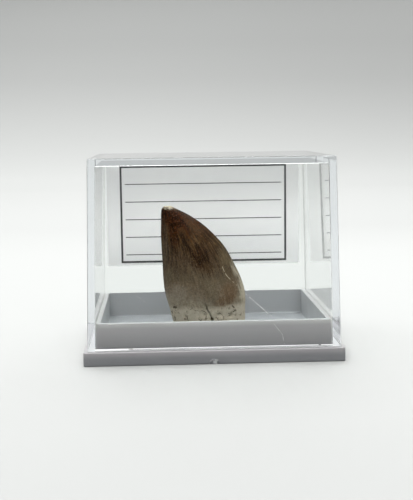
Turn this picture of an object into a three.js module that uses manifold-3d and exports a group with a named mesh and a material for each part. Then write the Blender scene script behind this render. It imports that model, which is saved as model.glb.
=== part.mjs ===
// A fossil mosasaur tooth standing in a small clear display box.
//
// Four pieces: a moulded grey tray (flat plate, upstanding rim, recessed underside), a clear cover
// that slides down over the rim and stands on the plate, a printed card against the cover's back
// wall, and the tooth itself, one natural piece of enamelled crown and pale root.
//
// Units are millimetres, +Z is up, -Y is the front and the origin is the bottom centre of the plate.

import * as THREE from "three";
import { mergeVertices } from "three/addons/utils/BufferGeometryUtils.js";
import Module from "manifold-3d";

// ---------------------------------------------------------------- driving dimensions

const PLATE = { width: 58, depth: 50, height: 3.125, corner: 0.6, edge: 0.25 };
const UNDERSIDE = { skirt: 1.75, recess: 1.5, corner: 0.5 };
const DRAFT = THREE.MathUtils.degToRad(1.2); // every upright wall leans in by this much

const COVER = {
  margin: 0.925, // plate showing all round the cover's foot
  wall: 1.6,
  top: 45.375, // overall height of the closed box
  corner: 0.9,
  edge: 0.3,
  innerCorner: 0.5,
  innerFillet: 0.4,
};

const RIM = { clearance: 0.14, wall: 1.06, top: 9.125, corner: 0.5, edge: 0.15 };
const TRAY_FLOOR = 3.0;

const CARD = { width: 50, height: 26.8, thickness: 0.25, gap: 0.15, centreX: -0.35, foot: 16.2 };

// Where the moulding's sprue broke off: a half-round relief in the plate's front edge, with the
// torn stub standing in it and stopping short of the plate's face.
const GATE = { x: -0.15, reliefRadius: 1.1, reliefDepth: 0.45, stubRadius: 0.55, stubShort: 0.1 };

// The tooth's two cutting edges, seen from the front: [x, height above the root's flat base].
const REAR_EDGE = [
  [-8.3, 0], [-9.2, 3.6], [-9.85, 6.2], [-10.7, 9.2], [-11.1, 13], [-11.2, 16.5],
  [-11.35, 20], [-11.45, 23], [-11.4, 26], [-11.35, 28.3], [-11.15, 29.5], [-10.65, 30.1],
];
const FRONT_EDGE = [
  [8.7, 0], [8.6, 3.8], [8.75, 7.1], [8.5, 10], [7.4, 13.3], [5.95, 16.4],
  [4.0, 20], [1.5, 23], [-1.6, 25.9], [-4.9, 28.1], [-7.5, 29.4], [-8.9, 30.15],
];
const TIP = { x: -9.75, z: 30.3 };
const NECK = 0.2; // share of the way from base to tip at which the enamel begins
const TIP_LEAN = 1.6; // how far the tip curves towards the back
const ENAMEL_STEP = 0.22; // the enamel stands this proud of the root
const SIDES = 60;
const ROOT_RINGS = 14;
const CROWN_RINGS = 24;

// Hollows in the surface: [angle round the tooth in degrees, height, radius, depth], where 0 is the
// long cutting edge and 270 the front.
const ROOT_PITS = [
  [210, 6.0, 0.6, 0.5], [205, 4.7, 0.5, 0.3], [231, 4.2, 0.55, 0.3], [246, 2.4, 0.8, 0.3],
  [263, 5.2, 1.1, 0.18], [274, 3.6, 0.6, 0.55], [286, 4.7, 0.8, 0.4], [302, 5.6, 0.6, 0.45],
  [303, 4.2, 0.7, 0.5], [318, 2.4, 1.0, 0.45], [344, 4.4, 0.8, 0.35], [20, 3.6, 0.9, 0.5],
  [55, 2.2, 0.8, 0.4], [88, 4.4, 1.1, 0.5], [124, 2.8, 0.8, 0.4], [155, 4.6, 0.9, 0.5],
];
const ENAMEL_CHIPS = [[347, 14.8, 1.9, 0.28], [136, 21, 1.6, 0.22], [62, 12.5, 1.4, 0.2]];
const SPLIT = { footAngle: 276, headAngle: 264, halfWidth: 0.45, depth: 0.4, fadeOut: 1.6 };

// ---------------------------------------------------------------- lofting

// One ring of points round a rectangle with rounded corners, counter-clockwise seen from above.
function roundedRectangle(halfX, halfY, radius, z, arcSteps = 3) {
  const ring = [];
  for (let corner = 0; corner < 4; corner += 1) {
    const signX = corner === 0 || corner === 3 ? 1 : -1;
    const signY = corner < 2 ? 1 : -1;
    for (let step = 0; step <= arcSteps; step += 1) {
      const angle = (corner + step / arcSteps) * (Math.PI / 2);
      ring.push(new THREE.Vector3(
        signX * (halfX - radius) + radius * Math.cos(angle),
        signY * (halfY - radius) + radius * Math.sin(angle),
        z,
      ));
    }
  }
  return ring;
}

// A closed skin through rings of equal length. The first ring is capped facing down and the last
// one facing up; `apex` lifts the last cap's middle point.
function loft(rings, apex = null) {
  const count = rings[0].length;
  const middleOf = (ring) => ring
    .reduce((sum, point) => sum.add(point), new THREE.Vector3())
    .divideScalar(count);
  const points = [middleOf(rings[0]), ...rings.flat(), apex ?? middleOf(rings.at(-1))];
  const last = points.length - 1;
  const at = (ring, side) => 1 + ring * count + (side % count);
  const faces = [];
  for (let side = 0; side < count; side += 1) {
    faces.push(0, at(0, side + 1), at(0, side));
    for (let ring = 0; ring < rings.length - 1; ring += 1) {
      const [a, b] = [at(ring, side), at(ring, side + 1)];
      const [c, d] = [at(ring + 1, side + 1), at(ring + 1, side)];
      faces.push(a, b, c, a, c, d);
    }
    faces.push(at(rings.length - 1, side), at(rings.length - 1, side + 1), last);
  }
  const geometry = new THREE.BufferGeometry().setFromPoints(points);
  geometry.setIndex(faces);
  geometry.computeVertexNormals();
  return geometry;
}

// ---------------------------------------------------------------- joining solids

const wasm = await Module();
wasm.setup();

function solidFrom(geometry) {
  const bare = geometry.clone();
  bare.deleteAttribute("normal");
  bare.deleteAttribute("uv");
  const merged = mergeVertices(bare, 1e-4);
  return new wasm.Manifold(new wasm.Mesh({
    numProp: 3,
    vertProperties: new Float32Array(merged.attributes.position.array),
    triVerts: new Uint32Array(merged.index.array),
  }));
}

function geometryFrom(solid) {
  const mesh = solid.getMesh();
  const geometry = new THREE.BufferGeometry();
  geometry.setAttribute("position", new THREE.BufferAttribute(mesh.vertProperties, 3));
  geometry.setIndex(new THREE.BufferAttribute(mesh.triVerts, 1));
  geometry.computeVertexNormals();
  return geometry;
}

// ---------------------------------------------------------------- box

// How far a drafted wall has leaned in by height z, counted from the plate's top face.
const leanAt = (z) => (z - PLATE.height) * Math.tan(DRAFT);
const COVER_FOOT = { x: PLATE.width / 2 - COVER.margin, y: PLATE.depth / 2 - COVER.margin };

function trayGeometry() {
  const halfX = PLATE.width / 2;
  const halfY = PLATE.depth / 2;
  const foot = COVER.wall + RIM.clearance;
  const ring = (inset, radius, z) => roundedRectangle(halfX - inset, halfY - inset, radius, z);
  // Insets of the rim's faces from the plate's edge, following the cover's draft.
  const rimOuter = (z) => COVER.margin + foot + leanAt(z);
  const rimInner = (z) => rimOuter(z) + RIM.wall;
  const rimShoulder = RIM.top - RIM.edge;
  const innerCorner = 0.3;
  return loft([
    ring(UNDERSIDE.skirt, UNDERSIDE.corner, UNDERSIDE.recess),
    ring(UNDERSIDE.skirt, UNDERSIDE.corner, 0),
    ring(PLATE.edge, PLATE.corner, 0),
    ring(0, PLATE.corner, PLATE.edge),
    ring(0, PLATE.corner, PLATE.height - PLATE.edge),
    ring(PLATE.edge, PLATE.corner, PLATE.height),
    ring(rimOuter(PLATE.height), RIM.corner, PLATE.height),
    ring(rimOuter(rimShoulder), RIM.corner, rimShoulder),
    ring(rimOuter(RIM.top) + RIM.edge, RIM.corner, RIM.top),
    ring(rimInner(RIM.top) - RIM.edge, innerCorner, RIM.top),
    ring(rimInner(rimShoulder), innerCorner, rimShoulder),
    ring(rimInner(RIM.top), innerCorner, TRAY_FLOOR),
  ]);
}

// A short round bar that lies along Y at the foot of the plate's front face, from `near` to `far`
// behind that face.
function gateBar(radius, near, far) {
  const bar = new THREE.CylinderGeometry(radius, radius, far - near, 20);
  bar.translate(GATE.x, (near + far) / 2 - PLATE.depth / 2, 0);
  return bar;
}

// The moulded tray with its sprue mark. Everything below the resting plane is cut away again.
function gatedTray() {
  const overlap = 1;
  const relief = solidFrom(gateBar(GATE.reliefRadius, -overlap, GATE.reliefDepth));
  const stub = solidFrom(gateBar(GATE.stubRadius, GATE.stubShort, GATE.reliefDepth + overlap));
  const below = new THREE.BoxGeometry(PLATE.width * 2, PLATE.depth * 2, 10);
  below.translate(0, 0, -5);
  return solidFrom(trayGeometry()).subtract(relief).add(stub.subtract(solidFrom(below)));
}

function coverGeometry() {
  const outer = (inset, radius, z) => roundedRectangle(
    COVER_FOOT.x - leanAt(z) - inset, COVER_FOOT.y - leanAt(z) - inset, radius, z);
  const inner = (inset, radius, z) => outer(COVER.wall + inset, radius, z);
  const ceiling = COVER.top - COVER.wall;
  return loft([
    inner(COVER.innerFillet, COVER.innerCorner, ceiling),
    inner(COVER.innerFillet * 0.3, COVER.innerCorner, ceiling - COVER.innerFillet * 0.3),
    inner(0, COVER.innerCorner, ceiling - COVER.innerFillet),
    inner(0, COVER.innerCorner, PLATE.height),
    outer(0, COVER.corner, PLATE.height),
    outer(0, COVER.corner, COVER.top - COVER.edge),
    outer(COVER.edge * 0.3, COVER.corner, COVER.top - COVER.edge * 0.3),
    outer(COVER.edge, COVER.corner, COVER.top),
  ]);
}

// ---------------------------------------------------------------- tooth

const smooth = (low, high, value) => THREE.MathUtils.smoothstep(value, low, high);
const outline = (points) => new THREE.CatmullRomCurve3(
  points.map(([x, z]) => new THREE.Vector3(x, 0, z)));
const rearEdge = outline(REAR_EDGE);
const frontEdge = outline(FRONT_EDGE);

// Thickness front to back, as a share of the width, from base to tip.
const thicknessAt = (t) => 0.76 - 0.04 * smooth(0, 0.45, t) + 0.2 * smooth(0.55, 1, t);

// Gentle unevenness that never repeats round the tooth, from -1 to 1.
const unevenness = (angle, z) => 0.5 * Math.sin(3 * angle + 0.9 * z)
  + 0.3 * Math.sin(5 * angle - 1.7 * z + 1) + 0.2 * Math.sin(8 * angle + 2.6 * z + 2);

// Distance round the tooth, at this radius, from one angle to another given in degrees.
function arcBetween(angle, degrees, radius) {
  const turn = THREE.MathUtils.radToDeg(angle) - degrees;
  return THREE.MathUtils.degToRad(THREE.MathUtils.euclideanModulo(turn + 180, 360) - 180) * radius;
}

function hollowsAt(hollows, angle, z, radius) {
  const cuts = hollows.map(([degrees, height, reach, depth]) => {
    const distance = Math.hypot(arcBetween(angle, degrees, radius), z - height);
    return depth * (1 - smooth(0.2 * reach, 1.1 * reach, distance));
  });
  return Math.max(...cuts);
}

// The split that runs up the root's front and dies out in the enamel.
function splitAt(angle, z, radius) {
  const neckHeight = REAR_EDGE[2][1];
  const splitAngle = THREE.MathUtils.lerp(SPLIT.footAngle, SPLIT.headAngle, z / neckHeight);
  const distance = Math.abs(arcBetween(angle, splitAngle, radius));
  return SPLIT.depth * (1 - smooth(0, SPLIT.halfWidth, distance))
    * (1 - smooth(neckHeight, neckHeight + SPLIT.fadeOut, z));
}

// One section of the tooth: a lens with a cutting edge at each end on the crown, an oval on the root.
function toothRing(t) {
  const rear = rearEdge.getPoint(t);
  const front = frontEdge.getPoint(t);
  const middle = rear.clone().lerp(front, 0.5);
  const halfWidth = (front.x - rear.x) / 2;
  const halfDepth = halfWidth * thicknessAt(t);
  const keenness = 1 + 0.32 * smooth(NECK, NECK + 0.15, t); // 1 is an oval, more is a keener lens
  const lean = TIP_LEAN * t * t;
  const onRoot = 1 - smooth(NECK - 0.02, NECK + 0.02, t);
  const ring = [];
  for (let side = 0; side < SIDES; side += 1) {
    const angle = (side / SIDES) * Math.PI * 2;
    const across = Math.cos(angle);
    const through = Math.sign(Math.sin(angle)) * Math.abs(Math.sin(angle)) ** keenness;
    const z = middle.z + (front.z - rear.z) * 0.5 * across;
    const awayFromEdges = 1 - 0.8 * Math.abs(across) ** 6;
    const sunk = awayFromEdges * (ENAMEL_STEP * onRoot + (0.06 + 0.1 * onRoot) * unevenness(angle, z))
      + onRoot * hollowsAt(ROOT_PITS, angle, z, halfWidth)
      + (1 - onRoot) * hollowsAt(ENAMEL_CHIPS, angle, z, halfWidth)
      + splitAt(angle, z, halfWidth);
    const shrink = Math.max(0, 1 - sunk / halfWidth);
    ring.push(new THREE.Vector3(
      middle.x + halfWidth * across * shrink,
      lean + halfDepth * through * shrink,
      z,
    ));
  }
  return ring;
}

function toothGeometry() {
  const rings = [];
  for (let ring = 0; ring <= ROOT_RINGS; ring += 1) rings.push(toothRing((NECK * ring) / ROOT_RINGS));
  for (let ring = 1; ring <= CROWN_RINGS; ring += 1) {
    const share = ring / CROWN_RINGS;
    rings.push(toothRing(NECK + (1 - NECK) * (share + 0.1 * Math.sin(share * Math.PI))));
  }
  return loft(rings, new THREE.Vector3(TIP.x, TIP_LEAN, TIP.z));
}

// ---------------------------------------------------------------- assembly

function piece(name, geometry, material) {
  const mesh = new THREE.Mesh(geometry, material);
  mesh.name = name;
  return mesh;
}

const box = new THREE.Group();
const specimen = new THREE.Group();
specimen.position.z = TRAY_FLOOR;

box.add(piece(
  "base_tray",
  geometryFrom(gatedTray()),
  new THREE.MeshStandardMaterial({ color: 0x8e9091, roughness: 0.45, metalness: 0 }),
));

box.add(piece(
  "clear_cover",
  coverGeometry(),
  new THREE.MeshStandardMaterial({
    color: 0xeef3f4, roughness: 0.05, metalness: 0, transparent: true, opacity: 0.25,
  }),
));

// The card stands off the cover's inner back face by the glue's thickness and leans as the wall does.
const card = piece(
  "label_card",
  new THREE.BoxGeometry(CARD.width, CARD.thickness, CARD.height),
  new THREE.MeshStandardMaterial({ color: 0xe4e7e6, roughness: 0.8, metalness: 0 }),
);
const cardMiddle = CARD.foot + CARD.height / 2;
card.position.set(
  CARD.centreX,
  COVER_FOOT.y - leanAt(cardMiddle) - COVER.wall - CARD.gap - CARD.thickness / 2,
  cardMiddle,
);
card.rotation.x = DRAFT;
box.add(card);

specimen.add(piece(
  "tooth",
  toothGeometry(),
  new THREE.MeshStandardMaterial({ color: 0x5a4a3a, roughness: 0.4, metalness: 0 }),
));

const root = new THREE.Group();
root.add(box, specimen);

export default root;
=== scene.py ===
"""A fossil mosasaur tooth in a small clear display box: the finished look of its four pieces.

Laid out as an add-on: property groups hold the sizes and colours, one operator makes each piece, one
makes the stage, and a panel lists them. Lengths are metres inside Blender; MM turns millimetres into them.
"""

import math

import bmesh
import bpy
import numpy as np
from bpy.props import FloatProperty, FloatVectorProperty, PointerProperty
from bpy.types import Operator, Panel, PropertyGroup
from mathutils import Matrix, Vector, noise


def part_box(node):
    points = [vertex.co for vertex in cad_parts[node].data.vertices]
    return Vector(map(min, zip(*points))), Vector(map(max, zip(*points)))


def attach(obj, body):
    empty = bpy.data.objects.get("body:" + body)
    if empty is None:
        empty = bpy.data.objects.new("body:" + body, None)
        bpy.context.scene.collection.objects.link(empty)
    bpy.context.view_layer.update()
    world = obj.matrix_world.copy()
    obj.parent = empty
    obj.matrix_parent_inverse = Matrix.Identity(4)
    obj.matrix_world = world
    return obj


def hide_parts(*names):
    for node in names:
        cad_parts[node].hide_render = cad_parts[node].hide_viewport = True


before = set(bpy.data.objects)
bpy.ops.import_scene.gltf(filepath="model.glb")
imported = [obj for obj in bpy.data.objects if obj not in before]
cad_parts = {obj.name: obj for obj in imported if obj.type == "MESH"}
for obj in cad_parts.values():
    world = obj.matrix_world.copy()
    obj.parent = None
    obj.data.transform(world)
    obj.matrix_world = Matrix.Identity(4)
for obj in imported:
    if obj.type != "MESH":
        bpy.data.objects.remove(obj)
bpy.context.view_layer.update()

bl_info = {
    "name": "Fossil Tooth in a Display Box",
    "version": (1, 0, 0),
    "blender": (4, 5, 0),
    "location": "3D View > Sidebar > Specimen",
    "description": "Makes a fossil mosasaur tooth, its clear display box, its card and a studio stage",
    "category": "Add Mesh",
}

MM = 0.001
TRAY_LOW, TRAY_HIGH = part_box("base_tray")
COVER_LOW, COVER_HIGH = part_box("clear_cover")
CARD_LOW, CARD_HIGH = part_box("label_card")
TOOTH_LOW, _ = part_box("tooth")


def srgb(red, green, blue):
    """A screen colour, 0 to 255 a channel, as the linear colour that shaders take."""
    def linear(value):
        share = value / 255
        return share / 12.92 if share <= 0.04045 else ((share + 0.055) / 1.055) ** 2.4
    return tuple(linear(value) for value in (red, green, blue))


def length(name, description, default, least=0):
    return FloatProperty(name=name, description=description, default=default, min=least, unit="LENGTH",
                         precision=5)


def angle(name, description, degrees):
    return FloatProperty(name=name, description=description, default=math.radians(degrees),
                         subtype="ANGLE")


def colour(name, description, default):
    return FloatVectorProperty(name=name, description=description, default=default, size=3, min=0,
                               max=1, subtype="COLOR")


# ---- sizes and colours


class TrayProperties(PropertyGroup):
    plate_height: length("Plate height", "Thickness of the flat plate", COVER_LOW.z)
    plate_corner: length("Plate corner", "Radius of the plate's upright corners", 0.6 * MM)
    skirt_width: length("Skirt width", "Width of the foot round the underside", 1.75 * MM)
    recess_depth: length("Recess depth", "How far the underside is hollowed", 1.5 * MM)
    rim_inset: length("Rim inset", "From the plate's edge to the rim's outer face", 2.665 * MM)
    rim_wall: length("Rim wall", "Thickness of the upstanding rim", 1.06 * MM)
    floor_height: length("Floor height", "Height of the floor inside the rim", TOOTH_LOW.z)
    sprue_x: length("Sprue place", "Place of the sprue mark along the front", -0.15 * MM, TRAY_LOW.x)
    sprue_relief: length("Sprue relief", "Radius of the relief round the torn sprue", 1.1 * MM)
    sprue_depth: length("Sprue depth", "Depth of that relief", 0.25 * MM)
    plastic: colour("Plastic", "Colour of the grey plastic", srgb(162, 159, 160))
    # painted light: a lighter copy of the plastic for inside the rim, standing in for the light that falls
    # in there
    lit_inner_plastic: colour("Inner plastic", "Colour of the plastic inside the rim", srgb(171, 173, 175))


class CoverProperties(PropertyGroup):
    wall: length("Wall", "Thickness of the clear walls and top", 1.6 * MM)
    draft: angle("Draft", "How far each wall leans in from upright", 1.2)
    corner: length("Corner", "Radius of the upright outer corners", 0.2 * MM)
    inner_corner: length("Inner corner", "Radius of the upright inner corners", 0.12 * MM)
    top_edge: length("Top edge", "Rounding of the top's outer edge", 0.1 * MM)
    ceiling_fillet: length("Ceiling fillet", "Fillet where the walls meet the ceiling", 0.1 * MM)
    foot_edge: length("Foot edge", "Rounding of the foot's edges", 0.12 * MM)
    tint: colour("Tint", "Colour of light passing through", (0.938, 0.95, 0.943))
    gloss: colour("Gloss", "Strength of the reflections seen straight on", (0.03, 0.03, 0.03))
    depth_tint: colour("Depth tint", "Colour that light takes on over a long way through the plastic",
                       (0.72, 0.752, 0.803))
    depth_density: FloatProperty(name="Depth density", description="How fast it takes on that colour",
                                 default=12, min=0)


class CardProperties(PropertyGroup):
    thickness: length("Thickness", "Thickness of the card", 0.25 * MM)
    lean: angle("Lean", "Lean of the card, equal to the wall's", 1.2)
    border_line: length("Border line", "Width of the printed border's line", 0.5 * MM)
    rule_line: length("Rule line", "Width of the ruled rows", 0.22 * MM)
    row_spacing: length("Row spacing", "Distance between ruled rows", 4.6 * MM)
    paper: colour("Paper", "Colour of the card", srgb(253, 252, 252))
    ink: colour("Ink", "Colour of the print", srgb(40, 42, 44))


class ToothProperties(PropertyGroup):
    tip_lean: length("Tip lean", "How far the tip curves towards the back", 1.6 * MM)
    enamel_step: length("Enamel step", "How proud of the root the enamel stands", 0.09 * MM)
    root: colour("Root", "Colour of the root's bone", srgb(176, 167, 149))


class StageProperties(PropertyGroup):
    camera_place: FloatVectorProperty(
        name="Camera place", description="Where the camera stands", subtype="TRANSLATION", unit="LENGTH",
        default=(-11.5 * MM, -251.66 * MM, 52.116 * MM))
    camera_pitch: angle("Camera pitch", "How far the camera looks down", 6.7245)
    camera_yaw: angle("Camera yaw", "How far the camera turns to the right", 2.4964)
    camera_roll: angle("Camera roll", "How far the camera leans", -0.7619)
    lens: FloatProperty(name="Lens", description="Focal length in millimetres on a 36 mm sensor",
                        default=75.61)
    floor: colour("Floor", "Colour of the floor", srgb(236, 238, 236))


# ---- modelling by hand, in code

SMOOTH_BELOW = math.radians(32)  # edges flatter than this are shaded smooth
SHARP_ABOVE = 0.8  # radians: edges sharper than this are rounded off
SLIVER = 0.002 * MM  # points closer than this are one point
ALIKE = 0.02 * MM  # lengths closer than this are equal


def clear_selection():
    """Leaves edit mode and selects nothing."""
    if bpy.context.object and bpy.context.object.mode != "OBJECT":
        bpy.ops.object.mode_set(mode="OBJECT")
    bpy.ops.object.select_all(action="DESELECT")


def activate(piece):
    """Makes a piece the only one selected and the one that operators act on."""
    clear_selection()
    piece.select_set(True)
    bpy.context.view_layer.objects.active = piece


def modify(piece, kind, **settings):
    """Adds a modifier with these settings and applies it."""
    activate(piece)
    modifier = piece.modifiers.new(kind, kind)
    for name, value in settings.items():
        setattr(modifier, name, value)
    bpy.ops.object.modifier_apply(modifier=modifier.name)


def extrude(rise):
    """Extrudes the selection and moves it up."""
    bpy.ops.mesh.extrude_region_move(TRANSFORM_OT_translate={"value": (0, 0, rise)})


def begin(name):
    """Names the primitive just added, bakes its place into its mesh and opens it for editing."""
    piece = bpy.context.object
    piece.name = piece.data.name = name
    bpy.ops.object.transform_apply(location=True, rotation=True, scale=True)
    bpy.ops.object.mode_set(mode="EDIT")
    return piece


def block(name, low, high):
    """A box between two corners, open for editing."""
    clear_selection()
    centre = [(a + b) / 2 for a, b in zip(low, high)]
    size = [b - a for a, b in zip(low, high)]
    bpy.ops.mesh.primitive_cube_add(size=1, location=centre, scale=size)
    return begin(name)


def pick(piece, kind, test):
    """Selects exactly the verts, edges or faces that pass the test."""
    bpy.ops.mesh.select_mode(type=kind[:-1].upper())
    bpy.ops.mesh.select_all(action="DESELECT")
    body = bmesh.from_edit_mesh(piece.data)
    chosen = [part for part in getattr(body, kind) if test(part)]
    if not chosen:
        raise RuntimeError(f"nothing to select on {piece.name}")
    for part in chosen:
        part.select_set(True)
    body.select_flush_mode()
    bmesh.update_edit_mesh(piece.data)


def near(value, target):
    """True where two lengths are alike."""
    return abs(value - target) < ALIKE


def level(z):
    """Test for an edge or face that lies flat at height z."""
    return lambda part: all(near(vert.co.z, z) for vert in part.verts)


def upright(edge):
    """True for an edge that runs up a corner, leaning with the draft at most."""
    run = edge.verts[1].co - edge.verts[0].co
    return run.length > 0 and abs(run.z) / run.length > 0.99


def facing(direction, z):
    """Test for a flat face at height z that looks up (1) or down (-1)."""
    flat = level(z)
    return lambda face: flat(face) and face.normal.z * direction > 0.9


def close_edit():
    """Points all faces outwards and ends the edit."""
    bpy.ops.mesh.select_mode(type="FACE")
    bpy.ops.mesh.select_all(action="SELECT")
    bpy.ops.mesh.normals_make_consistent(inside=False)
    bpy.ops.object.mode_set(mode="OBJECT")


def finish():
    """Ends the edit and smooths all but the sharp edges."""
    close_edit()
    bpy.ops.object.shade_smooth_by_angle(angle=SMOOTH_BELOW)


def merge_slivers(piece):
    """Merges the points that a cut has left on top of each other."""
    activate(piece)
    bpy.ops.object.mode_set(mode="EDIT")
    bpy.ops.mesh.select_all(action="SELECT")
    bpy.ops.mesh.remove_doubles(threshold=SLIVER)
    bpy.ops.mesh.dissolve_degenerate(threshold=SLIVER)
    bpy.ops.object.mode_set(mode="OBJECT")


def keep_faces_flat(piece):
    """Turns the normals of rounded edges to the broad faces beside them, so that those look flat."""
    modify(piece, "WEIGHTED_NORMAL", mode="FACE_AREA", weight=100, keep_sharp=True)


def hand_over(piece, material, node):
    """Gives a finished piece its material and its place in the frame."""
    piece.data.materials.clear()
    piece.data.materials.append(material)
    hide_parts(node)
    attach(piece, "root")


# ---- materials

# Lengths in the tables of the materials are in millimetres.

# The card's printed border, as (x, z), and the height of its lowest row above the border's foot.
BORDER_LOW, BORDER_HIGH = (-21.6, 17.1), (21.1, 41.9)
ROWS_START = 1.9

# Scratches down the cover's front: ends as (x, z) and half width.
SCRATCHES = (
    ((6.9, 15.4), (12.5, 10.3), 0.12),
    ((13.1, 8.6), (15, 6.1), 0.05),
    ((15, 6.1), (15.4, 4), 0.06),
    ((-17, 15.4), (-14.8, 13.7), 0.05),
)
INSIDE_FRONT_WALL = -23  # Y between the two faces of the cover's front wall

# Breaks in the painted glowing line along the cover's foot: (x, half width, strength).
FOOT_GAPS = ((-18.6, 0.6, 0.35), (23.3, 0.3, 0.9))


class Value:
    """A number that varies over a surface. Arithmetic on it adds Math nodes to its material."""

    def __init__(self, finish, socket):
        self.finish = finish
        self.socket = socket

    def __add__(self, other):
        return self.finish.math("ADD", self, other)

    def __sub__(self, other):
        return self.finish.math("SUBTRACT", self, other)

    def __rsub__(self, other):
        return self.finish.math("SUBTRACT", other, self)

    def __mul__(self, other):
        return self.finish.math("MULTIPLY", self, other)

    def __truediv__(self, other):
        return self.finish.math("DIVIDE", self, other)

    def __abs__(self):
        return self.finish.math("ABSOLUTE", self, 0)

    __radd__ = __add__
    __rmul__ = __mul__


class Finish:
    """One material, put together node by node."""

    def __init__(self, name):
        self.material = bpy.data.materials.new(name)
        self.material.use_nodes = True
        self.tree = self.material.node_tree
        self.tree.nodes.clear()
        self.place = self.node("TexCoord", out="Object")

    def node(self, kind, sockets=None, out=0, **settings):
        """Adds a shader node with these sockets and settings, and gives one of its outputs."""
        node = self.tree.nodes.new("ShaderNode" + kind)
        for name, value in settings.items():
            setattr(node, name, value)
        for name, value in (sockets or {}).items():
            socket = node.inputs[name]
            if isinstance(value, Value):
                self.tree.links.new(value.socket, socket)
            elif socket.type == "RGBA":
                socket.default_value = (*value[:3], 1)
            else:
                socket.default_value = value
        return Value(self, node.outputs[out])

    def math(self, operation, first, second=0):
        return self.node("Math", {0: first, 1: second}, operation=operation)

    def most(self, first, *others):
        """The largest of several values."""
        for other in others:
            first = self.math("MAXIMUM", first, other)
        return first

    def away(self, x, z):
        """The distance of a point from the origin."""
        return self.math("SQRT", x * x + z * z)

    def part(self, vector, axis):
        return self.node("SeparateXYZ", {0: vector}, axis)

    def millimetres(self):
        """The place on the surface as X, Y and Z in millimetres."""
        return [self.part(self.place, axis) * (1 / MM) for axis in "XYZ"]

    def step(self, value, low, high, reach=(0, 1)):
        """Rises smoothly from reach[0] to reach[1] as the value goes from low to high."""
        return self.node("MapRange", {
            "Value": value, "From Min": low, "From Max": high, "To Min": reach[0], "To Max": reach[1],
        }, interpolation_type="SMOOTHSTEP")

    def stroke(self, x, z, start, end, width):
        """1 along the straight line between two points, falling to 0 at this distance from it."""
        run = (end[0] - start[0], end[1] - start[1])
        reach = run[0] ** 2 + run[1] ** 2
        from_x, from_z = x - start[0], z - start[1]
        share = self.node("Clamp", {"Value": (from_x * run[0] + from_z * run[1]) / reach})
        return self.step(self.away(from_x - share * run[0], from_z - share * run[1]), width, width / 3)

    def noise(self, scale, detail=2, roughness=0.5, vector=None, distortion=0):
        return self.node("TexNoise", {
            "Vector": vector or self.place, "Scale": scale, "Detail": detail, "Roughness": roughness,
            "Distortion": distortion})

    def mix(self, share, first, second, blend="MIX"):
        """Blends two colours."""
        return self.node("Mix", {0: share, 6: first, 7: second}, 2, data_type="RGBA", blend_type=blend)

    def layers(self, base, *layers):
        """Lays colours over a base, one on the other, each given as its share and its colour."""
        for share, tone in layers:
            base = self.mix(share, base, tone)
        return base

    def ramp(self, value, stops):
        """A colour that runs through the stops, given as (value, colour)."""
        shade = self.node("ValToRGB", {0: value})
        ramp = shade.socket.node.color_ramp
        while len(ramp.elements) < len(stops):
            ramp.elements.new(1)
        for element, (position, tone) in zip(ramp.elements, stops):
            element.position = position
            element.color = (*tone, 1)
        return shade

    def bump(self, height, distance, strength):
        return self.node("Bump", {"Height": height, "Distance": distance, "Strength": strength})

    def plastic(self, **sockets):
        """A Principled shader; spaces in socket names are written as underscores."""
        return self.node("BsdfPrincipled", {
            name.replace("_", " "): value for name, value in sockets.items()})

    def done(self, shader, depth=None):
        """Joins the surface, and what fills the piece, to the material's output."""
        output = self.tree.nodes.new("ShaderNodeOutputMaterial")
        self.tree.links.new(shader.socket, output.inputs["Surface"])
        if depth:
            self.tree.links.new(depth.socket, output.inputs["Volume"])
        return self.material


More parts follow.
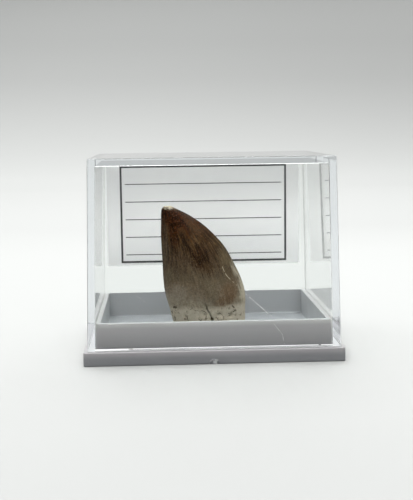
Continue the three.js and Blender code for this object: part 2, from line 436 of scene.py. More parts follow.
def tray_plastic(tray):
    """Satin moulded plastic: orange-peel from the mould, painted shade at the feet of its walls, painted
    light and shade on and inside the rim, and pale plastic where the sprue was torn off."""
    f = Finish("tray plastic")
    x, y, z = f.millimetres()
    peel = f.noise(1400)
    cloud = f.step(f.noise(90, 3), 0.35, 0.65)

    plate_top, rim_top, floor_level = tray.plate_height / MM, TRAY_HIGH.z / MM, tray.floor_height / MM
    rim_x, rim_y = (TRAY_HIGH.x - tray.rim_inset) / MM, (TRAY_HIGH.y - tray.rim_inset) / MM
    half_wall = 0.5 * tray.rim_wall / MM
    from_rim = f.most(abs(x) - (rim_x - half_wall), abs(y) - (rim_y - half_wall))
    inside = f.step(from_rim, half_wall, -half_wall) * f.step(z, 2, 2.5)
    outside = 1 - inside
    on_rim = f.step(z, plate_top - 0.1, plate_top + 0.1)
    foot_shade = (1 - on_rim) * f.step(z, 3.8, 1.2) + on_rim * f.step(z, rim_top, plate_top) * 0.5
    # the rim's top face, which is painted darker below as painted shade
    top = f.step(z + 0.06 * cloud, rim_top - 0.16, rim_top - 0.04)
    beside = x - tray.sprue_x / MM
    behind_front = y - TRAY_LOW.y / MM
    torn = f.step(beside * beside + z * z, 2, 0.9) * f.step(behind_front, 1, 0.8)
    torn = torn * f.step(f.noise(1300), 0.48, 0.58)

    # Outside: painted shade, darker towards the feet of the plate and the rim, and a painted highlight,
    # paler along the rim's upper edge.
    tone = f.layers(
        tray.plastic,
        # painted light: inside the rim the plastic is painted lighter than outside
        (inside, tray.lit_inner_plastic),
        # painted shade: darker towards the feet of the plate
        (outside * foot_shade, srgb(114, 115, 118)),
        # painted shade: darker at the foot of the rim, just above the plate
        (outside * on_rim * f.step(z, plate_top + 0.6, plate_top) * 0.7, srgb(88, 89, 93)),
        # painted highlight: paler along the rim's upper edge, where the light catches it
        (outside * f.step(z, rim_top - 1.3, rim_top - 0.15) * 0.5, srgb(205, 204, 203)),
        # painted shade: the rim's top face is painted a darker grey, toning down the light it catches
        (top * 0.9, srgb(143, 144, 144)),
        # painted shade: the floor inside the rim is painted a darker, bluer grey
        (inside * f.step(z, floor_level + 0.2, floor_level + 0.05), srgb(146, 150, 153)),
        (torn * 0.55, srgb(214, 216, 216)),
        (cloud * 0.1, srgb(150, 152, 152)),
    )
    return f.done(f.plastic(
        Base_Color=tone,
        Roughness=f.step(f.noise(300, 3), 0.3, 0.7, (0.3, 0.38)),
        Normal=f.bump(peel, 0.01 * MM, 0.4),
        IOR=1.52,
    ))


def clear_plastic(cover):
    """Clear moulded plastic, faintly rubbed, tinted in its depth and scratched down the front, with a
    painted
    glow along its foot: a matt white line lit from within, standing in for the light that runs down inside
    the walls."""
    f = Finish("clear plastic")
    x, y, z = f.millimetres()
    on_front = f.step(y, INSIDE_FRONT_WALL + 0.1, INSIDE_FRONT_WALL - 0.1)
    scratches = f.most(*(f.stroke(x, z, *scratch) for scratch in SCRATCHES))
    scratches = scratches * on_front * f.step(f.noise(1800), 0.3, 0.5)

    # A painted glow: a white line along the foot of the outer faces that emits light, standing in for the
    # light that runs down inside the walls, broader at the left and nicked in two places. The underside
    # below it is matt, and a little dust lies on top.
    from_x, from_y = abs(x) - COVER_HIGH.x / MM, abs(y) - COVER_HIGH.y / MM
    rise = z - COVER_LOW.z / MM
    line_foot = f.step(x, -18.6, -19.4, (0.39, 0.2)) + (f.noise(400, 1) - 0.5) * 0.1
    line = f.step(rise - line_foot, -0.03, 0.03) * f.step(rise, 0.61, 0.56)
    line = line * f.step(f.most(from_x, from_y), -0.8, -0.6)
    line = line * f.step(f.math("MINIMUM", from_x, from_y), -1.5, -1.7)
    for gap_x, gap_width, strength in FOOT_GAPS:
        line = line * f.step(abs(x - gap_x), gap_width, gap_width * 0.6, (1, 1 - strength))
    underside = f.step(rise, 0.1, 0.04)
    dusty = f.step(z - COVER_HIGH.z / MM, -0.1, -0.02)
    # share of matt white: real scratches, underside and dust, and the painted glowing foot line
    matt = f.most(scratches * 0.75, f.most(line, underside) * 0.95, dusty * 0.035)

    rubbed = f.step(f.noise(120, 4, 0.7), 0.5, 0.75)
    clear = f.plastic(
        Base_Color=cover.tint,
        Roughness=0.01 + 0.05 * rubbed,
        IOR=1.49,
        Specular_Tint=cover.gloss,
        Transmission_Weight=1,
    )
    scuffed_and_glowing = f.plastic(
        Base_Color=(0.98, 0.98, 0.98),
        Roughness=0.5,
        # painted glow: the foot line emits light, though it is no lamp
        Emission_Color=f.mix(line, (0, 0, 0), (1, 1, 1)),
        Emission_Strength=0.3,
    )
    depth = f.node("VolumeAbsorption", {"Color": cover.depth_tint, "Density": cover.depth_density})
    return f.done(f.node("MixShader", {0: matt, 1: clear, 2: scuffed_and_glowing}), depth)


def printed_card(card):
    """Card stock, printed on its front with a border and plain ruled rows."""
    f = Finish("printed card")
    x, y, z = f.millimetres()
    fibres = f.noise(2500, 3)
    ragged = (f.noise(5200) - 0.5) * 0.14
    line, rule, spacing = card.border_line / MM, card.rule_line / MM, card.row_spacing / MM
    (left, bottom), (right, top) = BORDER_LOW, BORDER_HIGH
    from_x = abs(x - (left + right) / 2) - (right - left) / 2
    from_z = abs(z - (bottom + top) / 2) - (top - bottom) / 2
    outside = f.most(from_x, from_z)
    border = f.step(abs(outside) + ragged, 0.62 * line, 0.4 * line)
    from_row = f.math("PINGPONG", z - (bottom + ROWS_START), spacing / 2)
    row = f.step(from_row + ragged, 0.62 * rule, 0.38 * rule) * f.step(outside, -1, -1.1)
    lean = (CARD_HIGH.z / MM - z) * math.tan(card.lean)
    on_front = f.step(y - lean - CARD_LOW.y / MM, 0.18, 0.1)
    printed = f.most(border, row) * on_front * f.step(fibres, 0.2, 0.45, (0.82, 0.97))

    # The card is painted greyer towards its head, painted shade; greyer towards its left side; faintly
    # clouded; and painted grey on its back, painted shade that tones down the light from behind.
    tone = f.layers(
        card.paper,
        (f.step(fibres, 0.4, 0.7) * 0.4, srgb(250, 251, 250)),
        # painted shade: greyer towards the head
        (f.step(z, 22, 42), srgb(209, 209, 209)),
        (f.step(x, -8, -24) * 0.3, srgb(205, 205, 206)),
        (f.step(f.noise(140, 3), 0.45, 0.7) * 0.15, srgb(222, 225, 225)),
        # painted shade: the back is painted grey
        (1 - on_front, srgb(196, 197, 197)),
        (printed, card.ink),
    )
    return f.done(f.plastic(
        Base_Color=tone,
        Roughness=0.75 - 0.2 * printed,
        Normal=f.bump(fibres, 0.01 * MM, 0.5),
        Subsurface_Weight=1,
        Subsurface_Radius=(1, 1, 1),
        Subsurface_Scale=0.4 * MM,
    ))


# Enamel from neck to tip: (share of the way, screen colour).
ENAMEL = (
    (0.24, (138, 128, 110)), (0.31, (110, 99, 83)), (0.4, (96, 84, 68)), (0.485, (81, 69, 53)),
    (0.57, (69, 56, 41)), (0.65, (61, 47, 32)), (0.735, (54, 39, 22)), (0.8, (47, 29, 11)),
    (0.87, (40, 21, 6)), (0.94, (28, 10, 2)),
)

# Growth lines, fine to broad: scale, detail, roughness and distortion of the noise, and the share of
# its scale along the tooth.
GROWTH_LINES = (
    (3, 3, 0.65, 0.3, 0.16),
    (2, 2, 0.6, 0.4, 0.16),
    (1.1, 2, 0.6, 0.5, 0.12),
    (0.42, 3, 0.6, 0.8, 0.3),
)

# Stains on the front of the crown: (x, z, half width, half height, lean to the right going down in
# degrees, screen colour, strength).
STAINS = (
    (-10.6, 21.6, 0.9, 8.4, -2, (70, 59, 46), 0.8),
    (-8.2, 26.4, 1.1, 3.8, 4, (46, 23, 3), 0.7),
    (-5.8, 24.8, 1.2, 3.8, 14, (56, 40, 22), 0.7),
    (-3.6, 25.6, 1.1, 2.4, 24, (70, 55, 37), 0.7),
    (-3.6, 28, 3.4, 1.3, -38, (64, 49, 33), 0.8),
    (0.3, 23.8, 1.3, 2.8, -45, (72, 55, 36), 0.6),
    (1.6, 25, 1.6, 1, -45, (72, 57, 38), 0.6),
    (-2.1, 20.9, 2.4, 3.8, 28, (46, 28, 9), 0.95),
    (-0.4, 18.4, 1.1, 2.2, 30, (70, 55, 38), 0.5),
    (3.4, 20.6, 1.6, 3, 25, (90, 78, 59), 0.8),
    (-9.6, 16.2, 1, 2.8, 0, (84, 74, 57), 0.6),
    (0.4, 13.4, 1.6, 2.6, 15, (99, 90, 72), 0.5),
    (4.4, 13, 2.8, 2.2, 35, (98, 77, 56), 0.7),
    (3.6, 10.8, 3, 1.3, 8, (100, 80, 60), 0.75),
    (-7.9, 12.2, 2, 3, 5, (130, 120, 105), 0.65),
    (6.7, 18.2, 1.2, 2.6, 24, (166, 158, 139), 0.9),
    (8.2, 12, 1.15, 4.2, 12, (180, 173, 153), 0.85),
    (8.4, 8.6, 1.4, 1.6, 10, (160, 152, 134), 0.7),
    (-8.2, 30.4, 2.4, 2.2, -20, (30, 10, 0), 0.9),
)

# Stains on the back, where the tooth lay the other way up in the rock.
BACK_STAINS = (
    (-7.4, 29, 3.8, 3.4, -20, (40, 20, 9), 0.9),
    (-5.6, 21.5, 2.2, 5.6, 12, (36, 20, 9), 0.8),
    (1.6, 20.4, 2, 4, 24, (58, 40, 22), 0.7),
    (-9, 15.5, 1.6, 5, 4, (96, 86, 70), 0.6),
    (3.8, 13.2, 3.2, 3, 30, (82, 58, 36), 0.6),
    (-2.6, 13, 3.4, 3.4, 0, (112, 98, 80), 0.5),
)

# Scars of lifted flakes on the front of the root: (x, z, radius).
SCARS = ((2.2, 7.4, 0.8), (-1.9, 7.7, 0.75), (5.6, 7.9, 0.55))

# Dark chips where the crown meets the root: ends as (x, z) and half width.
CHIPS = (
    ((-8.8, 9.15), (-7.8, 9.4), 0.32),
    ((-9.2, 7.9), (-9, 7.5), 0.22),
    ((5.2, 9.6), (5.6, 9.2), 0.24),
    ((5.4, 8.2), (6.2, 8.5), 0.2),
    ((-6.2, 6.6), (-5.7, 6.5), 0.2),
)

# A pale healed crack on the front of the crown: points (x, z) and half width.
CRACK = ((3, 18.9), (3.55, 17.4), (4.25, 16.45), (5.05, 15.6), (6.5, 14.2))
CRACK_WIDTH = 0.11


def stained(f, base, x, z, ragged, side, stains):
    """A colour with ragged oval stains laid over one side of the tooth."""
    for stain_x, stain_z, wide, tall, lean, tone, strength in stains:
        turn = math.radians(lean)
        dx, dz = x - stain_x, z - stain_z
        across = (dx * math.cos(turn) + dz * math.sin(turn)) / wide
        along_it = (dz * math.cos(turn) - dx * math.sin(turn)) / tall
        distance = across * across + along_it * along_it + ragged
        base = f.mix(side * f.step(distance, 1.5, -0.1, (0, strength)), base, srgb(*tone))
    return base


def bone(f, x, y, z, mottle, pale):
    """The root's chalky bone, mottled, with dark grains of rock left in it, and hairlines where flakes
    have begun to lift and round the scars of those that went."""
    flakes = f.node("TexVoronoi", {"Vector": f.place, "Scale": 420}, feature="DISTANCE_TO_EDGE")
    hairline = f.step(flakes, 0.035, 0.012) * f.step(f.noise(500, 1), 0.5, 0.58)
    for scar_x, scar_z, reach in SCARS:
        off_x, off_z = x - scar_x, (z - scar_z) * 0.85
        off = f.away(off_x, off_z) + (f.noise(700) - 0.5) * 1.7
        rim = f.step(abs(off - reach), 0.14, 0.06) * f.step(y, 0, -1)
        rim = rim * f.step(off_x + off_z * 0.6, -0.6, 0.3, (0.3, 0.9))
        hairline = f.most(hairline, rim)
    return f.layers(
        srgb(164, 156, 139),
        (f.step(mottle, 0.35, 0.65), pale),
        (f.step(f.noise(420, distortion=1.5), 0.6, 0.72, (0, 0.5)), srgb(188, 180, 163)),
        (f.step(f.noise(1500), 0.62, 0.7, (0, 0.6)), srgb(104, 94, 76)),
        # painted light: the bone is painted paler towards the right side, which the light catches more
        (f.step(x, 2, 8) * 0.5, srgb(204, 194, 176)),
        (hairline * f.step(f.noise(900, 1), 0.36, 0.5, (0.25, 0.85)), srgb(84, 74, 58)),
    )


def fossil(tooth):
    """Enamel that darkens to the tip over pale root bone, with growth lines, stains, wear and cracks."""
    f = Finish("fossil")
    x, y, z = f.millimetres()
    growth = f.node("Attribute", out="Vector", attribute_name="growth")
    height = f.part(growth, "Z")
    front = f.step(y, 1, -1)

    # Growth lines: noise drawn out from tip to base, so the lines close up towards the tip.
    def drawn_out(share):
        return f.node("VectorMath", {0: growth, 1: (1, 1, share)}, operation="MULTIPLY")

    fine, strands, bundles, broad = (
        f.noise(scale, detail, roughness, drawn_out(share), distortion)
        for scale, detail, roughness, distortion, share in GROWTH_LINES)
    grain = f.noise(2300, 3, 0.75)
    cloud = f.noise(330, 3, 0.65)
    mottle = f.noise(700, 4, 0.65)

    # Crown: a ramp from neck to tip, its zones pulled about along the growth lines.
    wander = (fine - 0.5) * 4 + (bundles - 0.5) * 3 + (broad - 0.5) * 5 + (cloud - 0.5) * 3
    crown = f.ramp((height + wander) / 30, [(share, srgb(*tone)) for share, tone in ENAMEL])
    ragged = (fine - 0.5) * 3 + (bundles - 0.5) * 2 + (cloud - 0.5) * 1.6
    crown = stained(f, crown, x, z, ragged, front, STAINS)
    crown = stained(f, crown, x, z, ragged, 1 - front, BACK_STAINS)
    streaky = f.step(height, 10, 22, (0.36, 1.5))
    converging = f.step(height, 14, 24, (0.5, 2))
    lines = (fine - 0.5) * 3 + ((strands - 0.5) * 1.2 + (bundles - 0.5)) * converging
    shade = 1 + lines * streaky + (grain - 0.5) * f.step(height, 12, 26, (1.5, 3.6))
    crown = f.mix(1, crown, f.most(shade, 0.3), "MULTIPLY")

    # Rust and pale flecks in the enamel, and the healed crack, broken here and there.
    rust = f.step(f.noise(2600), 0.5, 0.66) * f.step(height, 20, 27)
    pale_flecks = f.step(grain, 0.56, 0.78, (0, 0.2)) * f.step(height, 28, 22, (0.2, 1))
    crack = f.most(*(f.stroke(x, z, *ends, CRACK_WIDTH) for ends in zip(CRACK, CRACK[1:])))
    crack = crack * front * f.step(f.noise(1100, 1), 0.46, 0.56)
    crown = f.layers(
        crown,
        (rust * 0.5, srgb(92, 52, 22)),
        (pale_flecks, srgb(140, 122, 92)),
        (crack * 0.7, srgb(188, 178, 152)),
    )

    # Over both: small dark chips along the neck, the tip rubbed to bare cream enamel, and every hollow
    # darkened by its depth.
    neck = 6.1 + 0.4 * f.step(x, 0, 7) + (f.noise(330) - 0.5) * 1.4
    on_crown = f.step(height - neck, -0.6, 1)
    chips = f.most(*(f.stroke(x, z, *chip) for chip in CHIPS))
    chips = chips * front * f.step(f.noise(1500, 1), 0.36, 0.5)
    worn = f.step(height + (cloud - 0.5) * 2 + (grain - 0.5) * 2.4, 29.4, 30.2)
    worn = worn * f.step(x, -7.6, -9.4, (0.35, 1))
    hollow = f.node("Attribute", out="Fac", attribute_name="hollow")
    tone = f.layers(
        bone(f, x, y, z, mottle, tooth.root),
        (on_crown, crown),
        (chips * 0.85, srgb(62, 52, 38)),
        (worn * 0.92, srgb(178, 170, 151)),
        (f.step(hollow, 0.08, 0.5, (0, 0.75)), srgb(82, 72, 56)),
    )

    bone_rough = f.step(mottle, 0.3, 0.7, (0.75, 0.9))
    enamel_rough = f.step(cloud, 0.3, 0.7, (0.5, 0.65))
    relief = fine * 0.6 + grain * on_crown * 0.25 + mottle * (1 - on_crown) * 1.6
    return f.done(f.plastic(
        Base_Color=tone,
        Roughness=bone_rough * (1 - on_crown) + enamel_rough * on_crown,
        Normal=f.bump(relief, 0.05 * MM, 0.6),
        Specular_IOR_Level=0.04,
    ))


# ---- box


def taper(factor_x, factor_y):
    """Draws the selection in towards the piece's upright middle line."""
    bpy.ops.transform.resize(value=(factor_x, factor_y, 1), center_override=(0, 0, 0))


def round_edges(piece, test, radius, segments):
    """Bevels the edges that pass the test."""
    pick(piece, "edges", test)
    bpy.ops.mesh.bevel(offset=radius, segments=segments, affect="EDGES", clamp_overlap=True)


def reaching(x):
    """Test for a part whose furthest point along X lies at this distance from the middle."""
    return lambda part: near(max(abs(vert.co.x) for vert in part.verts), x)


def both(*tests):
    """Test for a part that passes all of these tests."""
    return lambda part: all(test(part) for test in tests)


def sharp(edge):
    """True where two faces meet at a corner."""
    return len(edge.link_faces) == 2 and edge.calc_face_angle() > SHARP_ABOVE


def make_tray(tray, draft):
    """The grey tray: plate, upstanding rim, recessed underside and the torn sprue in its relief."""
    half_x, half_y, rim_top = TRAY_HIGH
    plate_top = tray.plate_height
    piece = block("grey_tray", (-half_x, -half_y, 0), (half_x, half_y, plate_top))

    # Rim: two insets on the plate's top, the band between them drawn up, and the floor sunk.
    pick(piece, "faces", facing(1, plate_top))
    bpy.ops.mesh.inset(thickness=tray.rim_inset)
    bpy.ops.mesh.inset(thickness=tray.rim_wall)
    rim_x, rim_y = half_x - tray.rim_inset, half_y - tray.rim_inset
    pick(piece, "faces", both(facing(1, plate_top), reaching(rim_x)))
    extrude(rim_top - plate_top)
    lean = (rim_top - plate_top) * math.tan(draft)
    taper((rim_x - lean) / rim_x, (rim_y - lean) / rim_y)
    pick(piece, "faces", both(facing(1, plate_top), reaching(rim_x - tray.rim_wall)))
    bpy.ops.transform.translate(value=(0, 0, tray.floor_height - plate_top))

    # Recess: the underside inset by the skirt's width and pushed up.
    pick(piece, "faces", facing(-1, 0))
    bpy.ops.mesh.inset(thickness=tray.skirt_width)
    extrude(tray.recess_depth)

    # Corners first, as (x, radius), then the edges that run round them, as (z, radius).
    corners = ((half_x, tray.plate_corner), (rim_x, 0.5 * MM), (rim_x - tray.rim_wall, 0.3 * MM),
               (half_x - tray.skirt_width, 0.5 * MM))
    edges = ((rim_top, 0.2 * MM), (plate_top, 0.25 * MM), (0, 0.25 * MM),
             (tray.recess_depth, 0.3 * MM), (tray.floor_height, 0.25 * MM))
    for x, radius in corners:
        round_edges(piece, both(upright, reaching(x)), radius, 5)
    for z, radius in edges:
        round_edges(piece, both(level(z), sharp), radius, 3)
    finish()
    add_sprue_mark(piece, tray)
    keep_faces_flat(piece)
    return piece


def round_bar(name, radius, start, end, centre_x, wobble=0):
    """A short bar along Y, its front end roughened by the wobble, as torn plastic is."""
    clear_selection()
    bpy.ops.mesh.primitive_cylinder_add(
        vertices=32, radius=radius, depth=end - start, location=(centre_x, (start + end) / 2, 0),
        rotation=(math.pi / 2, 0, 0))
    bar = begin(name)
    if wobble:
        pick(bar, "faces", lambda face: face.normal.y < -0.9)
        bpy.ops.mesh.inset(thickness=radius * 0.35)
        bpy.ops.mesh.inset(thickness=radius * 0.3)
        body = bmesh.from_edit_mesh(bar.data)
        for vert in body.verts:
            if near(vert.co.y, start):
                vert.co.y += wobble * noise.noise(vert.co * 2500)
        bmesh.update_edit_mesh(bar.data)
    finish()
    return bar


def combine(piece, tool, operation):
    """Cuts or joins with another solid, which is used up."""
    modify(piece, "BOOLEAN", object=tool, operation=operation, solver="EXACT")
    bpy.data.objects.remove(tool, do_unlink=True)


def add_sprue_mark(piece, tray):
    """A half-round relief at the foot of the front face, with the sprue's torn stub standing in it."""
    front, torn = -TRAY_HIGH.y, 0.12 * MM
    combine(piece, round_bar("relief", tray.sprue_relief, front - 1 * MM, front + tray.sprue_depth,
                             tray.sprue_x), "DIFFERENCE")
    stub = round_bar("stub", tray.sprue_relief / 2, front + torn, front + 1.2 * MM, tray.sprue_x, torn)
    wide = 5 * MM
    below = block("below", (-wide, front - wide, -wide), (wide, front + wide, 0))
    finish()
    combine(stub, below, "DIFFERENCE")
    combine(piece, stub, "UNION")
    merge_slivers(piece)


def make_cover(cover):
    """The clear cover: a block drawn in towards its top, hollowed from below."""
    low, high = COVER_LOW, COVER_HIGH
    piece = block("box_cover", low, high)
    slope = math.tan(cover.draft)

    def lean_in(half_x, half_y, rise):
        taper((half_x - rise * slope) / half_x, (half_y - rise * slope) / half_y)

    pick(piece, "faces", facing(1, high.z))
    lean_in(high.x, high.y, high.z - low.z)
    pick(piece, "faces", facing(-1, low.z))
    bpy.ops.mesh.inset(thickness=cover.wall)
    ceiling = high.z - cover.wall
    extrude(ceiling - low.z)
    lean_in(high.x - cover.wall, high.y - cover.wall, ceiling - low.z)

    round_edges(piece, both(upright, reaching(high.x)), cover.corner, 6)
    round_edges(piece, both(upright, reaching(high.x - cover.wall)), cover.inner_corner, 5)
    round_edges(piece, both(level(high.z), sharp), cover.top_edge, 4)
    round_edges(piece, both(level(ceiling), sharp), cover.ceiling_fillet, 5)
    round_edges(piece, both(level(low.z), sharp), cover.foot_edge, 2)
    finish()
    keep_faces_flat(piece)
    return piece


def make_card(card):
    """The card: a thin slab whose head is moved forward, so that it leans as the wall behind it does."""
    low, high = CARD_LOW, CARD_HIGH
    piece = block("specimen_card", (low.x, high.y - card.thickness, low.z), high)
    pick(piece, "verts", lambda vert: vert.co.z > (low.z + high.z) / 2)
    bpy.ops.transform.translate(value=(0, -(high.y - low.y - card.thickness), 0))
    round_edges(piece, sharp, 0.05 * MM, 2)
    finish()
    return piece


# ---- tooth

# The two cutting edges seen from the front, in millimetres: (x, height above the root's flat end).
REAR_EDGE = (
    (-8.3, 0), (-9.2, 3.6), (-9.85, 6.2), (-10.7, 9.2), (-11.1, 13), (-11.2, 16.5),
    (-11.35, 20), (-11.45, 23), (-11.4, 26), (-11.35, 28.3), (-11.15, 29.5), (-10.65, 30.1),
)
FRONT_EDGE = (
    (8.7, 0), (8.6, 3.8), (8.75, 7.1), (8.5, 10), (7.4, 13.3), (5.95, 16.4),
    (4, 20), (1.5, 23), (-1.6, 25.9), (-4.9, 28.1), (-7.5, 29.4), (-8.9, 30.15),
)
NECK = 0.2  # share of the way from base to tip at which the enamel begins
SIDES = 80  # points round each section
LEVELS = 40  # sections above the first
TOOTH_SMOOTH_BELOW = math.radians(50)

# Hollows: (angle in degrees, height, radius, depth) in millimetres; 270 degrees is the front.
ROOT_PITS = (
    (210, 6, 0.6, 0.5), (205, 4.7, 0.5, 0.3), (231, 4.2, 0.55, 0.3), (246, 2.4, 0.8, 0.3),
    (263, 5.2, 1.1, 0.18), (274, 3.6, 0.6, 0.55), (286, 4.7, 0.9, 0.22), (302, 6, 0.4, 0.3),
    (306, 4.5, 0.8, 0.3), (318, 2.4, 1, 0.3), (344, 4.4, 0.8, 0.25), (20, 3.6, 0.9, 0.5),
    (55, 2.2, 0.8, 0.4), (88, 4.4, 1.1, 0.5), (124, 2.8, 0.8, 0.4), (155, 4.6, 0.9, 0.5),
)
ENAMEL_CHIPS = ((347, 14.8, 1.9, 0.28), (136, 21, 1.6, 0.22), (62, 12.5, 1.4, 0.2))

# The split up the root: its angles at foot and head, the heights where it fades and ends, its depth.
SPLIT_FOOT, SPLIT_HEAD, SPLIT_TOP, SPLIT_END, SPLIT_DEPTH = 282.5, 267.5, 6.2, 7.8, 0.42


def ease(low, high, value):
    """Rises smoothly from 0 to 1 as the value goes from low to high."""
    share = np.clip((value - low) / (high - low), 0, 1)
    return share * share * (3 - 2 * share)


def along(outline, t):
    """A point on a smooth curve through the outline's points, t from 0 to 1."""
    spot = t * (len(outline) - 1)
    index = min(int(spot), len(outline) - 2)
    u = spot - index
    p0, p1, p2, p3 = (Vector(outline[min(max(index + k, 0), len(outline) - 1)]) for k in (-1, 0, 1, 2))
    return 0.5 * (2 * p1 + (p2 - p0) * u + (2 * p0 - 5 * p1 + 4 * p2 - p3) * u * u
                  + (3 * p1 - p0 - 3 * p2 + p3) * u ** 3)


def section(t, tip_lean):
    """Middle, half width, half depth and tilt of the tooth's section at t."""
    rear, front = along(REAR_EDGE, t), along(FRONT_EDGE, t)
    middle = (rear + front) / 2
    half_width = (front - rear).length / 2
    share = 0.76 - 0.04 * ease(0, 0.45, t) + 0.2 * ease(0.55, 1, t)
    tilt = math.atan2(front.y - rear.y, front.x - rear.x)
    centre = Vector((middle.x * MM, tip_lean * t * t, middle.y * MM + TOOTH_LOW.z))
    return centre, half_width * MM, (front.x - rear.x) / 2 * share * MM, tilt


# The section's half width in millimetres at each tenth of the way up.
TENTHS = [count / 10 for count in range(11)]
HALF_WIDTHS = [section(tenth, 0)[1] / MM for tenth in TENTHS]


def make_tooth(tooth):
    """The tooth: an oval drawn up section by section, then subdivided and carved."""
    piece = rough_out(tooth)
    modify(piece, "SUBSURF", levels=2, render_levels=2)
    carve(piece, tooth)
    activate(piece)
    bpy.ops.object.shade_smooth_by_angle(angle=TOOTH_SMOOTH_BELOW)
    return piece


def rough_out(tooth):
    """Ovals extruded one on the other up the tooth, each moved to its own place, size and tilt."""
    clear_selection()
    bpy.ops.mesh.primitive_circle_add(vertices=SIDES, radius=1, fill_type="NGON", location=(0, 0, 0))
    piece = begin("fossil_tooth")
    bmesh.from_edit_mesh(piece.data).verts.layers.float_vector.new("growth")
    bpy.ops.mesh.select_all(action="SELECT")
    laid = (Vector(), 1, 1, 0)
    for step in range(LEVELS + 1):
        if step:
            extrude(0)
        share = step / LEVELS
        t = share + 0.04 * math.sin(share * math.pi)
        laid = lay_section(piece, laid, section(t, tooth.tip_lean), t)
    pick(piece, "edges", both(level(TOOTH_LOW.z), sharp))
    bpy.ops.transform.edge_crease(value=0.9)
    close_edit()
    return piece


def lay_section(piece, old, new, t):
    """Moves the selected ring from the old section to the new, and marks its points with where they
    lie: across and through the section, as the cosine and sine of the angle, and t up the tooth."""
    pivot, old_width, old_depth, old_tilt = old
    centre, width, depth, tilt = new
    bpy.ops.transform.rotate(value=-old_tilt, orient_axis="Y", center_override=pivot)
    bpy.ops.transform.resize(value=(width / old_width, depth / old_depth, 1), center_override=pivot)
    bpy.ops.transform.rotate(value=tilt, orient_axis="Y", center_override=pivot)
    bpy.ops.transform.translate(value=centre - pivot)
    body = bmesh.from_edit_mesh(piece.data)
    growth = body.verts.layers.float_vector["growth"]
    long_axis = Vector((math.cos(tilt), 0, math.sin(tilt)))
    for vert in body.verts:
        if vert.select:
            offset = vert.co - centre
            vert[growth] = (offset.dot(long_axis) / width, offset.y / depth, t)
    bmesh.update_edit_mesh(piece.data)
    return new


def read_points(mesh, source, name):
    """A vector for each point of a mesh, one to a row."""
    values = np.empty(len(mesh.vertices) * 3)
    source.foreach_get(name, values)
    return values.reshape(-1, 3)


def ripple(points, seed):
    """Smooth noise from -1 to 1 at each point."""
    shift = Vector((seed * 7.3, seed * 3.1, seed * 5.7))
    return np.array([noise.noise(Vector(point) + shift) for point in points])


def hollows_at(hollows, angle, height, radius, ragged):
    """Depth cut by the deepest of the hollows at each point."""
    cut = np.zeros(len(angle))
    for degrees, middle, reach, depth in hollows:
        turn = (angle - degrees + 180) % 360 - 180
        distance = np.hypot(np.radians(turn) * radius, height - middle) * (1 + 0.25 * ragged)
        cut = np.maximum(cut, depth * (1 - ease(0.3 * reach, 1.05 * reach, distance)))
    return cut


def carve(piece, tooth):
    """Gives the smooth form its cutting edges, enamel step, growth lines, pits, chips and split."""
    mesh = piece.data
    place = read_points(mesh, mesh.vertices, "co")
    growth = read_points(mesh, mesh.attributes["growth"].data, "vector")
    across, through, t = growth.T
    angle = np.degrees(np.arctan2(through, across)) % 360
    on_side = ease(0.9, 0.985, np.hypot(across, through))  # 0 in the middle of the flat ends

    # Cutting edges: the oval pinched to a lens.
    lean = tooth.tip_lean * t * t
    pinch = np.abs(np.sin(np.radians(angle))) ** (0.32 * ease(NECK, NECK + 0.15, t) * on_side)
    place[:, 1] = lean + (place[:, 1] - lean) * pinch
    mesh.vertices.foreach_set("co", place.ravel())
    mesh.update()
    normal = read_points(mesh, mesh.vertices, "normal")

    height = (place[:, 2] - TOOTH_LOW.z) / MM
    spot = place / MM
    lines = np.stack([9 * across, 9 * through, height], axis=1)
    ragged = ripple(spot * 1.6, 1)
    onset = NECK + 0.012 * ripple(spot * 0.7, 2)
    on_root = 1 - ease(onset - 0.012, onset + 0.012, t)
    radius = np.interp(t, TENTHS, HALF_WIDTHS)
    calm_edges = 1 - 0.7 * np.abs(across) ** 6

    sunk = calm_edges * tooth.enamel_step / MM * on_root
    sunk += on_root * (0.12 * ripple(spot * 0.8, 3) + 0.07 * ragged + 0.035 * ripple(spot * 4.5, 4))
    sunk += (1 - on_root) * calm_edges * (
        0.06 * ripple(spot * 0.35, 5)
        + 0.035 * ripple(lines * (1.1, 1.1, 0.07), 6)
        + 0.015 * ripple(lines * (3, 3, 0.12), 7))
    hollow = on_root * hollows_at(ROOT_PITS, angle, height, radius, ragged)
    sunk += (1 - on_root) * hollows_at(ENAMEL_CHIPS, angle, height, radius, ragged)
    split_angle = SPLIT_FOOT + (SPLIT_HEAD - SPLIT_FOOT) * height / SPLIT_TOP + 1.5 * ripple(spot * 1.1, 8)
    from_split = np.abs(np.radians((angle - split_angle + 180) % 360 - 180)) * radius
    hollow += SPLIT_DEPTH * (1 - ease(0.04, 0.26, from_split)) * (1 - ease(SPLIT_TOP, SPLIT_END, height))

    place -= normal * ((sunk + hollow) * on_side * MM)[:, None]
    mesh.vertices.foreach_set("co", place.ravel())
    mesh.attributes.new("hollow", "FLOAT", "POINT").data.foreach_set("value", hollow * on_side)
    mesh.attributes["growth"].data.foreach_set("vector", lines.ravel())  # for the shader
    mesh.update()


# ---- stage

# The sweep in metres: where it begins and ends along Y, its height, the radius of its curve, its width.
SWEEP_FRONT, SWEEP_BACK, SWEEP_HEIGHT, SWEEP_CURVE, SWEEP_WIDTH = -1.3, 1.1, 1.6, 0.5, 4

# Shade of the sweep, from nearest the camera to the head of the backdrop: (Y plus Z in metres, grey).
SWEEP_SHADES = (
    (-1.3, 0.3), (-0.3, 0.3), (-0.12, 0.37), (0.02, 0.397), (0.18, 0.393), (0.29, 0.372), (0.47, 0.388),
    (0.69, 0.421), (0.87, 0.373), (1.01, 0.33), (1.1, 0.335), (1.19, 0.38), (2.6, 0.4),
)

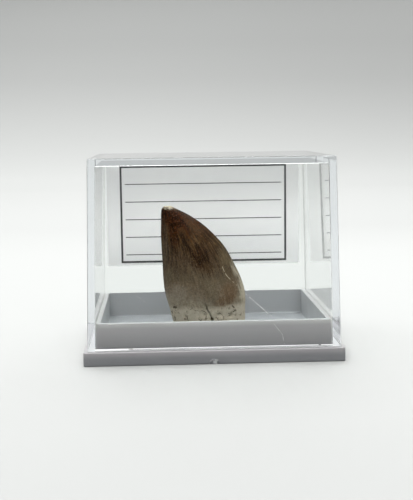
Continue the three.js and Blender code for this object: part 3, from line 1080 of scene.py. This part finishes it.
# Lamps: (name, energy in watts, width and length, place, the point each is aimed at).
LAMPS = (
    ("overhead", 11, (1, 0.6), (-0.05, 0.35, 0.8), (0, 0, 0)),
    ("forward", 10, (1, 0.8), (-0.05, -0.3, 0.85), (0, 0, 0.02)),
    ("behind", 5.1, (1.4, 0.4), (-0.05, 0.85, 0.5), (0, 0, 0.02)),
)
SKY_STRENGTH = 0.45  # of the even white light all round


def make_sweep():
    """A pale floor that curves up into a backdrop."""
    def at_back(part):
        return all(near(vert.co.y, SWEEP_BACK) for vert in part.verts)

    clear_selection()
    run = SWEEP_BACK - SWEEP_FRONT
    bpy.ops.mesh.primitive_plane_add(size=1, location=(0, SWEEP_FRONT + run / 2, 0))
    bpy.context.object.scale = (SWEEP_WIDTH, run, 1)
    piece = begin("sweep")
    pick(piece, "edges", at_back)
    extrude(SWEEP_HEIGHT)
    round_edges(piece, both(at_back, level(0)), SWEEP_CURVE, 48)
    bpy.ops.object.mode_set(mode="OBJECT")
    bpy.ops.object.shade_smooth()
    return piece


def sweep_paint(stage):
    """Pale paint that falls off towards the camera and up the backdrop, as light from above does."""
    f = Finish("sweep paint")
    first, last = SWEEP_SHADES[0][0], SWEEP_SHADES[-1][0]
    travel = f.part(f.place, "Y") + f.part(f.place, "Z")
    stops = [((at - first) / (last - first), (grey, grey, grey)) for at, grey in SWEEP_SHADES]
    shade = f.ramp((travel - first) / (last - first), stops)

    # Painted shade and light: towards the right the backdrop is painted a little darker, and the floor
    # near the box a little lighter, to thin the box's shadow there.
    across = f.part(f.place, "X")
    sideways = 1 - 0.11 * f.step(across, -0.2, 0.25) * f.step(travel, 0.5, 1)
    sideways = sideways + 0.04 * f.step(across, 0, 0.06) * f.step(travel, 0.3, 0.1)
    shade = f.mix(1, shade, sideways, "MULTIPLY")
    return f.done(f.plastic(Base_Color=f.mix(1, shade, stage.floor, "MULTIPLY"), Roughness=0.75))


def area_light(name, energy, size, place, aim):
    """Adds a rectangular lamp aimed at a point."""
    lamp = bpy.data.lights.new(name, "AREA")
    lamp.shape = "RECTANGLE"
    lamp.size, lamp.size_y = size
    lamp.energy = energy
    holder = bpy.data.objects.new(name, lamp)
    holder.location = place
    holder.rotation_euler = (Vector(aim) - Vector(place)).to_track_quat("-Z", "Y").to_euler()
    bpy.context.collection.objects.link(holder)


def make_camera(stage):
    """Adds the camera and makes it the scene's own."""
    view = bpy.data.cameras.new("camera")
    view.sensor_width = 36
    view.lens = stage.lens
    view.clip_start = 0.01
    holder = bpy.data.objects.new("camera", view)
    holder.matrix_world = (
        Matrix.Translation(stage.camera_place)
        @ Matrix.Rotation(-stage.camera_yaw, 4, "Z")
        @ Matrix.Rotation(math.pi / 2 - stage.camera_pitch, 4, "X")
        @ Matrix.Rotation(stage.camera_roll, 4, "Z"))
    bpy.context.collection.objects.link(holder)
    bpy.context.scene.camera = holder


# ---- operators, panel and main


class MakeStage(Operator):
    """Make the camera, the floor, the backdrop and the lights"""

    bl_idname = "specimen.make_stage"
    bl_label = "Stage"

    def execute(self, context):
        scene = context.scene
        stage = scene.specimen_stage
        make_camera(stage)
        sweep = make_sweep()
        sweep.data.materials.append(sweep_paint(stage))
        scene.view_settings.view_transform = "Standard"
        scene.cycles.blur_glossy = 0  # light keeps its full strength on its way through the clear plastic
        scene.world = bpy.data.worlds.new("studio")
        scene.world.use_nodes = True
        background = scene.world.node_tree.nodes["Background"]
        background.inputs["Color"].default_value = (1, 1, 1, 1)
        background.inputs["Strength"].default_value = SKY_STRENGTH
        for lamp in LAMPS:
            area_light(*lamp)
        return {"FINISHED"}


class MakeTray(Operator):
    """Make the grey tray"""

    bl_idname = "specimen.make_tray"
    bl_label = "Tray"

    def execute(self, context):
        tray = context.scene.specimen_tray
        piece = make_tray(tray, context.scene.specimen_cover.draft)
        hand_over(piece, tray_plastic(tray), "base_tray")
        return {"FINISHED"}


class MakeCover(Operator):
    """Make the clear cover"""

    bl_idname = "specimen.make_cover"
    bl_label = "Cover"

    def execute(self, context):
        cover = context.scene.specimen_cover
        hand_over(make_cover(cover), clear_plastic(cover), "clear_cover")
        return {"FINISHED"}


class MakeCard(Operator):
    """Make the printed card"""

    bl_idname = "specimen.make_card"
    bl_label = "Card"

    def execute(self, context):
        card = context.scene.specimen_card
        hand_over(make_card(card), printed_card(card), "label_card")
        return {"FINISHED"}


class MakeTooth(Operator):
    """Make the fossil tooth"""

    bl_idname = "specimen.make_tooth"
    bl_label = "Tooth"

    def execute(self, context):
        tooth = context.scene.specimen_tooth
        hand_over(make_tooth(tooth), fossil(tooth), "tooth")
        return {"FINISHED"}


OPERATORS = (MakeStage, MakeTray, MakeCover, MakeCard, MakeTooth)


class SpecimenPanel(Panel):
    """Lists the pieces of the specimen in its box"""

    bl_idname = "VIEW3D_PT_specimen"
    bl_label = "Specimen"
    bl_space_type = "VIEW_3D"
    bl_region_type = "UI"
    bl_category = "Specimen"

    def draw(self, context):
        for name in SETTINGS:
            group = getattr(context.scene, name)
            box = self.layout.box()
            for key in group.__annotations__:
                box.prop(group, key)
        for operator in OPERATORS:
            self.layout.operator(operator.bl_idname)


SETTINGS = {
    "specimen_stage": StageProperties,
    "specimen_tray": TrayProperties,
    "specimen_cover": CoverProperties,
    "specimen_card": CardProperties,
    "specimen_tooth": ToothProperties,
}


def register():
    for name, group in SETTINGS.items():
        bpy.utils.register_class(group)
        setattr(bpy.types.Scene, name, PointerProperty(type=group))
    for operator in OPERATORS:
        bpy.utils.register_class(operator)
    bpy.utils.register_class(SpecimenPanel)


def unregister():
    bpy.utils.unregister_class(SpecimenPanel)
    for operator in reversed(OPERATORS):
        bpy.utils.unregister_class(operator)
    for name, group in SETTINGS.items():
        delattr(bpy.types.Scene, name)
        bpy.utils.unregister_class(group)


def main():
    register()
    bpy.ops.specimen.make_stage()
    bpy.ops.specimen.make_tray()
    bpy.ops.specimen.make_cover()
    bpy.ops.specimen.make_card()
    bpy.ops.specimen.make_tooth()


if __name__ == "__main__":
    main()
